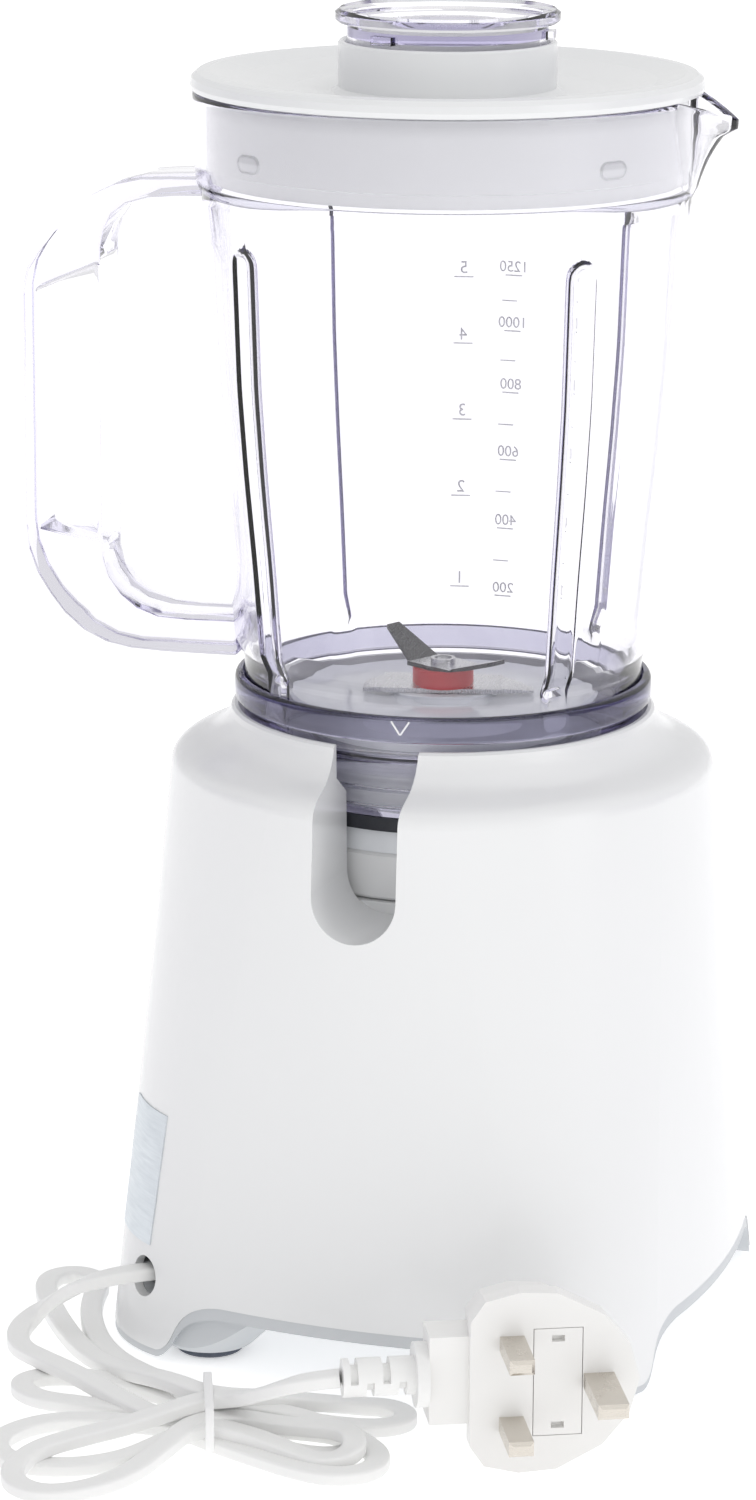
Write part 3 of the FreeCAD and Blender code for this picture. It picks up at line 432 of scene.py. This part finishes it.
# ---- jar: one clear shell with a spout and four ribs, its handle and its foot ring ----
JAR_TURN = 7.0
JAR_LINE = [(54.8, 187.0), (57.3, 192.5), (59.3, 216.0), (62.0, 242.0), (64.0, 266.0), (65.2, 297.0), (66.0, 314.0),
            (67.4, 317.5), (67.7, 322.0), (68.3, 340.6)]
JAR_WALL = 2.8
RIBS = (45.0, 135.0, 225.0, 315.0)
RIB_HALF, RIB_TOP = 4.6, 299.0


def between(points, z):
    for (r0, z0), (r1, z1) in zip(points, points[1:]):
        if z <= z1:
            return r0 + (r1 - r0) * (z - z0) / (z1 - z0)
    return points[-1][0]


def eased(points, z):
    """The jar's wall line, rounded where its runs meet."""
    return sum(between(points, z + dz) * w for dz, w in ((-6, 0.1), (-3, 0.2), (0, 0.4), (3, 0.2), (6, 0.1)))


def wall(z):
    if z < 196.0 or z > 308.0:
        return between(JAR_LINE, z)
    return eased(JAR_LINE, z)


def rib_depth(turn, z, radius, half):
    best = 0.0
    for at in RIBS:
        across = math.radians((turn - at + 180.0) % 360.0 - 180.0) * radius
        over = max(0.0, z - RIB_TOP)
        left = 1.0 - (across / half) ** 2 - (over / half) ** 2
        best = max(best, math.sqrt(max(0.0, left)))
    return best


def spout_reach(turn, z):
    """How far the pouring lip stands out at this angle and height."""
    away = abs((turn - 180.0 + 180.0) % 360.0 - 180.0)
    rise = max(0.0, min(1.0, (z - 309.0) / 26.5))
    half = 5.0 + 10.0 * rise
    side = max(0.0, 1.0 - away / half)
    return (10.2 * rise ** 2.4) * side ** 1.15


def rim_drop(turn):
    away = abs((turn - 180.0 + 180.0) % 360.0 - 180.0)
    return 5.2 * max(0.0, 1.0 - away / 15.0) ** 1.1


def jar_angles():
    turns = set(range(0, 360, 2))
    for at in RIBS:
        turns |= {at + 0.45 * i for i in range(-14, 15)}
    turns |= {180.0 + 0.75 * i for i in range(-22, 23)}
    return sorted(turns)


def jar_heights():
    heights = [187.0, 188.5, 190.5, 192.5, 195.0]
    heights += [198.0 + 4.0 * i for i in range(25)]
    heights += [297.0, 298.5, 300.0, 300.8, 301.6, 302.4, 303.0, 303.5, 304.0, 306.0, 309.0, 312.0, 314.0, 316.0,
                317.5, 319.5, 322.0, 325.0, 328.0, 331.0, 333.5, 335.5, 337.5, 339.5, 340.6, 341.4]
    return heights


def make_jar():
    turns, heights = jar_angles(), jar_heights()
    foot_out = [(47.0, 151.8), (47.0, 155.0), (47.9, 155.6), (47.9, 156.6), (47.0, 157.2),
                (47.0, 160.0), (47.9, 160.6), (47.9, 161.6), (47.0, 162.2), (47.0, 163.0), (52.0, 165.0),
                (54.6, 167.0), (55.0, 169.0),
                (55.0, 175.0), (54.8, 181.0), (54.6, 184.0)]
    foot_in = [(51.6, 185.0), (51.6, 172.0), (50.2, 170.0), (44.4, 168.5), (44.4, 160.0), (44.4, 151.8)]
    points = []
    for turn in turns:
        a = math.radians(turn + JAR_TURN)
        column = list(foot_out)
        for z in heights:
            r = wall(z) - 1.6 * rib_depth(turn, z, 60.0, RIB_HALF - 1.3)
            drop = rim_drop(turn) * max(0.0, min(1.0, (z - 331.0) / 10.0))
            column.append((r + spout_reach(turn, z) - (0.6 if z > 341 else 0.0), z - drop))
        for z in reversed(heights):
            r = wall(z) - JAR_WALL - 2.2 * rib_depth(turn, z, 58.0, RIB_HALF)
            drop = rim_drop(turn) * max(0.0, min(1.0, (z - 331.0) / 10.0))
            column.append((r + spout_reach(turn, z) + (0.5 if z > 341 else 0.0), z - drop))
        column += foot_in
        points += [(r * math.cos(a), r * math.sin(a), z) for r, z in column]
    rows = len(foot_out) + 2 * len(heights) + len(foot_in)
    return smooth(solid("jar_shell", points, ring_faces(len(turns), rows), CLEAR, "jar"))


def revolved(name, outline, material, body, turns=192):
    """A ring of the closed (radius, z) outline."""
    points = []
    for i in range(turns):
        a = 2 * math.pi * i / turns
        points += [(r * math.cos(a), r * math.sin(a), z) for r, z in outline]
    return solid(name, points, ring_faces(turns, len(outline)), material, body)


HANDLE_OUTER = [(64.2, 317.4), (74, 317.2), (82, 316.6), (89, 314.8), (95, 311.9), (102, 306.8), (107, 301.6),
                (111.6, 295.6), (114.4, 290.6), (115.8, 284.0), (115.8, 219.0), (115.0, 212.5), (112.6, 206.0),
                (109.0, 200.2), (105.0, 195.0), (99.5, 190.3), (93.0, 187.2), (86.0, 185.8), (76.0, 185.3),
                (55.6, 185.2)]
HANDLE_INNER = [(55.9, 195.3), (70.0, 195.2), (78.0, 195.6), (84.0, 197.6), (88.6, 201.0), (92.0, 205.6),
                (93.8, 211.0), (94.0, 219.0), (94.0, 290.0), (93.6, 297.5), (92.6, 302.0), (90.0, 306.2),
                (86.0, 309.2), (80.0, 310.9), (72.0, 311.6), (64.4, 311.8)]
GRIP_HALF = 11.5


def make_handle():
    """D-shaped plate of two side walls and an outer wall, open towards the jar."""
    outline = HANDLE_OUTER + HANDLE_INNER
    hollow = [(91.2, 214.0), (112.4, 218.0), (112.4, 285.0), (91.2, 295.0)]
    turn = Matrix.Rotation(math.radians(JAR_TURN), 3, "Z")

    def prism(name, shape, half):
        count = len(shape)
        points = [turn @ Vector((x, y, z)) for y in (-half, half) for x, z in shape]
        faces = [tuple(range(count)), tuple(range(count, 2 * count))]
        faces += [(i, (i + 1) % count, count + (i + 1) % count, count + i) for i in range(count)]
        return solid(name, points, faces, CLEAR_GRIP, "jar")

    handle = prism("jar_handle", outline, GRIP_HALF)
    cutter = prism("handle_hollow", hollow, GRIP_HALF - 2.8)
    cut = handle.modifiers.new("hollow", "BOOLEAN")
    cut.operation, cut.object, cut.solver = "DIFFERENCE", cutter, "EXACT"
    applied = bpy.data.meshes.new_from_object(handle.evaluated_get(bpy.context.evaluated_depsgraph_get()))
    handle.modifiers.clear()
    handle.data = applied
    bpy.data.objects.remove(cutter)
    return smooth(handle, 1.1, 3, 40.0)


jar_shell = make_jar()
jar_handle = make_handle()
# the foot ring and the threads below are in the darker copy of the clear plastic: painted shade
foot_ring = smooth(revolved("jar_foot_ring", [
    (55.1, 174.9), (56.6, 174.9), (57.2, 175.5), (57.4, 176.4), (57.4, 180.4), (57.2, 181.2), (56.6, 181.8),
    (55.1, 182.2)], CLEAR_PAINTED_SHADE, "jar"), 0.2, 2, 30)
for ring_z in (153.6, 158.6):
    smooth(revolved("jar_thread_%d" % ring_z, [(47.05, ring_z), (47.8, ring_z + 0.3), (47.8, ring_z + 1.0),
                                               (47.05, ring_z + 1.3)], CLEAR_PAINTED_SHADE, "jar"))


STEP_TOP, STEP_INNER, STEP_OUTER = 317.6, 63.9, 64.7
STEP_THIN, STEP_DEEP = 0.25, 2.55
STEP_CAMERA_AZIMUTH = 108.0           # azimuth of the camera, at which the painted dark band is thinnest
STEP_START, STEP_RUN = 24.0, 34.0


def step_band():
    """Thick clear step that the lid's skirt sits in; it is a painted band of shade in the darker copy of the clear
    plastic, thinnest facing the camera and deeper towards the sides as seen from it.
    """
    points = []
    turns = 180
    for i in range(turns):
        turn = 360.0 * i / turns
        # painted shade: the band's depth follows the angle from the camera's azimuth
        away = abs((turn - STEP_CAMERA_AZIMUTH + 90.0) % 180.0 - 90.0)
        grow = max(0.0, min(1.0, (away - STEP_START) / STEP_RUN))
        high = STEP_THIN + (STEP_DEEP - STEP_THIN) * grow * grow * (3 - 2 * grow)
        a = math.radians(turn)
        for r, z in ((STEP_INNER, STEP_TOP), (STEP_OUTER, STEP_TOP), (STEP_OUTER, STEP_TOP - high),
                     (STEP_INNER, STEP_TOP - high)):
            points.append((r * math.cos(a), r * math.sin(a), z))
    return smooth(solid("jar_step", points, ring_faces(turns, 4), CLEAR_PAINTED_SHADE, "jar"), 0.1, 2, 30)


step_band()
for piece in (jar_shell, jar_handle, foot_ring):
    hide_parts("jar_body")


# ---- measuring scale and alignment arrow ---------------------------------------------
def on_wall(azimuth, radius, z):
    """Frame on a round wall: right-hand direction for someone outside, up, outwards."""
    a = math.radians(azimuth)
    out = Vector((math.cos(a), math.sin(a), 0.0))
    right = Vector((-math.sin(a), math.cos(a), 0.0))
    turn = Matrix((right, UP, out)).transposed().to_4x4()
    return Matrix.Translation((out * radius + UP * z) * MM) @ turn


def lettered(text, size, place, parts):
    data = bpy.data.curves.new("mark", "FONT")
    data.body, data.size, data.extrude = text, size * MM, 0.12 * MM
    data.align_x, data.align_y = "CENTER", "BOTTOM_BASELINE"
    glyph = link(bpy.data.objects.new("mark", data))
    mesh = bpy.data.meshes.new_from_object(glyph)
    mesh.transform(place)
    parts.append(mesh)
    bpy.data.objects.remove(glyph)


def dash(width, thick, place, parts):
    w, t, d = width / 2 * MM, thick / 2 * MM, 0.12 * MM
    corners = [(x, y, z) for z in (-d, d) for x, y in ((-w, -t), (w, -t), (w, t), (-w, t))]
    mesh = bpy.data.meshes.new("dash")
    mesh.from_pydata(corners, [], [(3, 2, 1, 0), (4, 5, 6, 7), (0, 1, 5, 4), (1, 2, 6, 5), (2, 3, 7, 6),
                                   (3, 0, 4, 7)])
    mesh.transform(place)
    parts.append(mesh)


def joined(name, parts, material, body):
    shape = bmesh.new()
    for mesh in parts:
        shape.from_mesh(mesh)
        bpy.data.meshes.remove(mesh)
    made = bpy.data.meshes.new(name)
    shape.to_mesh(made)
    shape.free()
    piece = link(bpy.data.objects.new(name, made))
    paint(piece, material)
    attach(piece, body)
    return piece


CUP_AZIMUTH, MILLILITRE_AZIMUTH = 283.4, 270.3
CUPS = {"1": 193.8, "2": 219.8, "3": 241.4, "4": 263.0, "5": 281.9}
MILLILITRES = {"200": 191.6, "400": 211.0, "600": 230.5, "800": 249.5, "1000": 267.0, "1250": 282.8}


def make_scale():
    parts = []
    for text, z in CUPS.items():
        lettered(text, 5.0, on_wall(CUP_AZIMUTH, wall(z + 2) + 0.05, z), parts)
        dash(5.6, 0.35, on_wall(CUP_AZIMUTH, wall(z) + 0.1, z - 1.0), parts)
    for text, z in MILLILITRES.items():
        lettered(text, 4.4, on_wall(MILLILITRE_AZIMUTH, wall(z + 2) + 0.05, z), parts)
        dash(5.0, 0.35, on_wall(MILLILITRE_AZIMUTH, wall(z) + 0.1, z - 1.0), parts)
    for z in (200.8, 220.4, 239.4, 257.6, 274.6):
        dash(4.6, 0.3, on_wall(MILLILITRE_AZIMUTH + 1.0, wall(z) + 0.1, z), parts)
    return joined("jar_scale", parts, SCALE_INK, "jar")


def make_arrow():
    parts = []
    for lean in (-1, 1):
        place = on_wall(96.7 + lean * 1.25, 57.5, 179.4)
        dash(0.45, 4.4, place @ Matrix.Rotation(math.radians(-33 * lean), 4, "Z"), parts)
    return joined("jar_arrow", parts, MARK_WHITE, "jar")


make_scale()
make_arrow()


# ---- lid locks seen on the skirt ------------------------------------------------------
SKIRT_R = 64.5


def blister(name, azimuth, z, radius, half_w, half_h, material, body):
    """Low capsule with a raised rim around a flat middle, on a round wall."""
    steps = 40
    points, faces = [], []
    rings = [(1.0, -0.3), (0.98, 0.35), (0.90, 0.7), (0.80, 0.7), (0.72, 0.3), (0.30, 0.3)]
    for scale, height in rings:
        for i in range(steps):
            a = 2 * math.pi * i / steps
            x = (half_w - half_h) * (1 if math.cos(a) > 0 else -1) + half_h * scale * math.cos(a)
            y = half_h * scale * math.sin(a)
            t = math.radians(azimuth) + x / radius
            r = radius + height
            points.append((r * math.cos(t), r * math.sin(t), z + y))
    for k in range(len(rings) - 1):
        for i in range(steps):
            n = (i + 1) % steps
            faces.append((k * steps + i, k * steps + n, (k + 1) * steps + n, (k + 1) * steps + i))
    faces.append(tuple((len(rings) - 1) * steps + i for i in range(steps)))
    faces.append(tuple(range(steps)))
    return smooth(solid(name, points, faces, material, body), 0.1, 2, 30)


for number, (azimuth, height) in enumerate(((56.5, 326.4), (148.8, 326.7), (236.5, 326.4), (328.8, 326.7))):
    blister("lid_lock_%d" % number, azimuth, height, SKIRT_R, 4.4, 2.5, LID_WHITE, "lid")

# ---- floor and light ----------------------------------------------------------------
def make_floor():
    mesh = bpy.data.meshes.new("floor")
    half = 30.0
    mesh.from_pydata([(-half, -half, 0), (half, -half, 0), (half, half, 0), (-half, half, 0)], [], [(0, 1, 2, 3)])
    floor = link(bpy.data.objects.new("floor", mesh))
    n = Nodes("floor")
    shader = n.add("ShaderNodeBsdfPrincipled", {
        "Base Color": n.colours(n.noise(3.0, 2.0), (0.93, 0.93, 0.93), (0.95, 0.95, 0.95)),
        "Roughness": n.spread(n.noise(20.0, 2.0), 0.7, 0.8), "Specular IOR Level": 0.1,
        "Emission Color": (1.0, 1.0, 1.0, 1.0), "Emission Strength": 0.42})
    n.surface(shader.outputs["BSDF"])
    floor.data.materials.append(n.material)
    floor.location.z = -0.0003


def make_world():
    """Bright all round, with a darker violet-grey panel on each side that clear edges pick up."""
    world = bpy.data.worlds.new("studio")
    world.use_nodes = True
    tree = world.node_tree
    tree.nodes.clear()
    out = tree.nodes.new("ShaderNodeOutputWorld")
    sky = tree.nodes.new("ShaderNodeBackground")
    place = tree.nodes.new("ShaderNodeTexCoord")
    across = tree.nodes.new("ShaderNodeVectorMath")
    across.operation = "DOT_PRODUCT"
    across.inputs[1].default_value = VIEW_RIGHT
    size = tree.nodes.new("ShaderNodeMath")
    size.operation = "ABSOLUTE"
    ramp = tree.nodes.new("ShaderNodeValToRGB")
    ramp.color_ramp.interpolation = "EASE"
    ramp.color_ramp.elements[0].position = 0.80
    ramp.color_ramp.elements[0].color = (1.0, 1.0, 1.0, 1.0)
    ramp.color_ramp.elements[1].position = 0.95
    ramp.color_ramp.elements[1].color = (0.25, 0.22, 0.37, 1.0)
    tree.links.new(place.outputs["Generated"], across.inputs[0])
    tree.links.new(across.outputs["Value"], size.inputs[0])
    tree.links.new(size.outputs[0], ramp.inputs["Fac"])
    tree.links.new(ramp.outputs["Color"], sky.inputs["Color"])
    sky.inputs["Strength"].default_value = 0.825
    tree.links.new(sky.outputs[0], out.inputs[0])
    bpy.context.scene.world = world


def area_light(name, place, target, size, power):
    data = bpy.data.lights.new(name, "AREA")
    data.shape, data.size, data.size_y, data.energy = "RECTANGLE", size[0], size[1], power
    lamp = link(bpy.data.objects.new(name, data))
    place = Vector(place)
    turn = (Vector(target) - place).to_track_quat("-Z", "Y").to_matrix().to_4x4()
    lamp.matrix_world = Matrix.Translation(place) @ turn
    lamp.visible_camera = False


make_floor()
make_world()
area_light("top_light", UP * 2.0 + VIEW_RIGHT * 0.5, (0, 0, 0.1), (2.0, 2.0), 5.0)
area_light("right_light", VIEW_RIGHT * 1.7 + TO_CAMERA * 1.1 + UP * 0.8, (0, 0, 0.15), (0.9, 1.4), 3.5)

scene = bpy.context.scene
scene.view_settings.view_transform = "Standard"
scene.cycles.max_bounces = 32
scene.cycles.transmission_bounces = 28
scene.cycles.transparent_max_bounces = 24
scene.cycles.glossy_bounces = 12
scene.cycles.diffuse_bounces = 5
